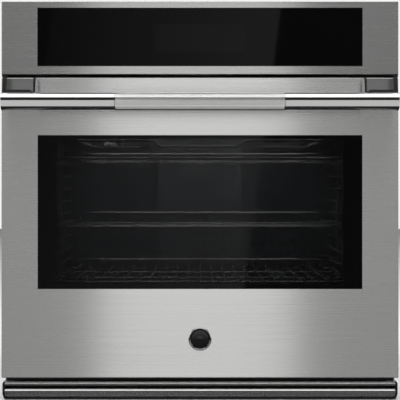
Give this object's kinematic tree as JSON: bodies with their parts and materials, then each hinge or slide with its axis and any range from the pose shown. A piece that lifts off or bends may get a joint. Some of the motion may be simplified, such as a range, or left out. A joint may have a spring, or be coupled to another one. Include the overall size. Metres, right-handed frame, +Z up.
{
  "type": "wall oven",
  "caption": "Built-in single wall oven with brushed steel drop-down door, round knurled handle, dark window, glass control fascia and louvred vent trim.",
  "frame": {"origin": "middle of the bounding box, at the underside of the support feet", "axes": "+X to the right seen from the room, the door and handle face -Y, +Z up"},
  "size_m": [0.756, 0.683, 0.759],
  "materials": {
    "painted_steel": "galvanised sheet",
    "brushed_steel": "brushed, horizontal grain",
    "dark_steel": "dark painted",
    "black_trim": "satin black",
    "enamel": "dark blue-grey enamel",
    "insulation": "glass-fibre blanket",
    "chrome": "polished",
    "black_glass": "black, polished",
    "clear_glass": "clear, polished",
    "heater": "oxidised tube",
    "motor": "laminated",
    "aluminium": "satin",
    "rubber": "woven and silicone seal",
    "plastic": "moulded",
    "board": "circuit board",
    "spring_steel": "zinc plated",
    "liner_enamel": "enamel"
  },
  "bodies": {
    "chassis": {"base_pan": "painted_steel", "support_feet": "rubber", "side_panel_left": "painted_steel", "side_panel_right": "painted_steel", "rear_panel": "painted_steel", "top_cover": "painted_steel", "front_frame": "dark_steel", "mounting_rails": "dark_steel", "component_shelf": "painted_steel", "cavity_liner": "enamel", "insulation_blanket": "insulation", "rack_ladders": "chrome", "broil_element": "heater", "bake_element": "heater", "fan_baffle": "enamel", "convection_element": "heater", "fan_motors": "motor", "lamp_housings": "painted_steel", "lamp_lenses": "clear_glass", "temperature_probe": "chrome", "door_gasket": "rubber", "blower_housing": "painted_steel", "blower_motor": "motor", "air_duct": "painted_steel", "console_bracket": "painted_steel", "control_fascia": "brushed_steel", "panel_glass": "black_glass", "display_module": "board", "control_board": "board", "junction_box": "painted_steel", "latch_motor": "plastic", "door_switch": "plastic", "vent_tube": "painted_steel", "hinge_receivers": "spring_steel", "hinge_arms": "spring_steel", "vent_trim": "brushed_steel", "trim_caps": "black_trim", "chassis_screws": "spring_steel"},
    "door": {"door_skin": "brushed_steel", "door_outer_glass": "black_glass", "glass_retainer": "dark_steel", "door_middle_glass": "clear_glass", "door_liner": "liner_enamel", "door_inner_glass": "clear_glass", "handle_bar": "chrome", "handle_sleeve": "brushed_steel", "handle_post_left": "brushed_steel", "handle_post_right": "brushed_steel", "door_badge": "black_trim", "hinge_channels": "spring_steel", "hinge_springs": "spring_steel", "handle_screws": "spring_steel"},
    "rack_lower": {"rack_lower": "chrome"},
    "rack_middle": {"rack_middle": "chrome"},
    "rack_upper": {"rack_upper": "chrome"},
    "fan_lower": {"fan_lower": "aluminium"},
    "fan_upper": {"fan_upper": "aluminium"},
    "blower_wheel": {"blower_wheel": "aluminium"},
    "latch": {"latch_hook": "spring_steel"},
    "door_switch_plunger": {"switch_plunger": "plastic"}
  },
  "joints": [
    {"name": "door_hinge", "type": "hinge", "parent": "chassis", "child": "door", "pos_m": [0, -0.2695, 0.054], "axis": [1, 0, 0], "range_deg": [0, 90], "stiffness_Nm_per_rad": 17, "springref_deg": -10.31},
    {"name": "rack_lower_slide", "type": "slide", "parent": "chassis", "child": "rack_lower", "axis": [0, -1, 0], "range_m": [0, 0.26]},
    {"name": "rack_middle_slide", "type": "slide", "parent": "chassis", "child": "rack_middle", "axis": [0, -1, 0], "range_m": [0, 0.26]},
    {"name": "rack_upper_slide", "type": "slide", "parent": "chassis", "child": "rack_upper", "axis": [0, -1, 0], "range_m": [0, 0.26]},
    {"name": "fan_lower_spin", "type": "hinge", "parent": "chassis", "child": "fan_lower", "pos_m": [0, 0.232, 0.285], "axis": [0, 1, 0], "continuous": true},
    {"name": "fan_upper_spin", "type": "hinge", "parent": "chassis", "child": "fan_upper", "pos_m": [0, 0.232, 0.462], "axis": [0, 1, 0], "continuous": true},
    {"name": "blower_spin", "type": "hinge", "parent": "chassis", "child": "blower_wheel", "pos_m": [0, 0.1915, 0.62], "axis": [0, 0, 1], "continuous": true},
    {"name": "latch_swing", "type": "hinge", "parent": "chassis", "child": "latch", "pos_m": [-0.09, -0.205, 0.5742], "axis": [0, 0, -1], "range_deg": [0, 75]},
    {"name": "switch_travel", "type": "slide", "parent": "chassis", "child": "door_switch_plunger", "axis": [0, -1, 0], "range_m": [0, 0.006]}
  ],
  "couplings": [
    {"joint": "rack_lower_slide", "follows": "door_hinge", "m_per_rad": 0.1655},
    {"joint": "rack_middle_slide", "follows": "door_hinge", "m_per_rad": 0.1655},
    {"joint": "rack_upper_slide", "follows": "door_hinge", "m_per_rad": 0.1655},
    {"joint": "switch_travel", "follows": "door_hinge", "m_per_rad": 0.0038}
  ]
}
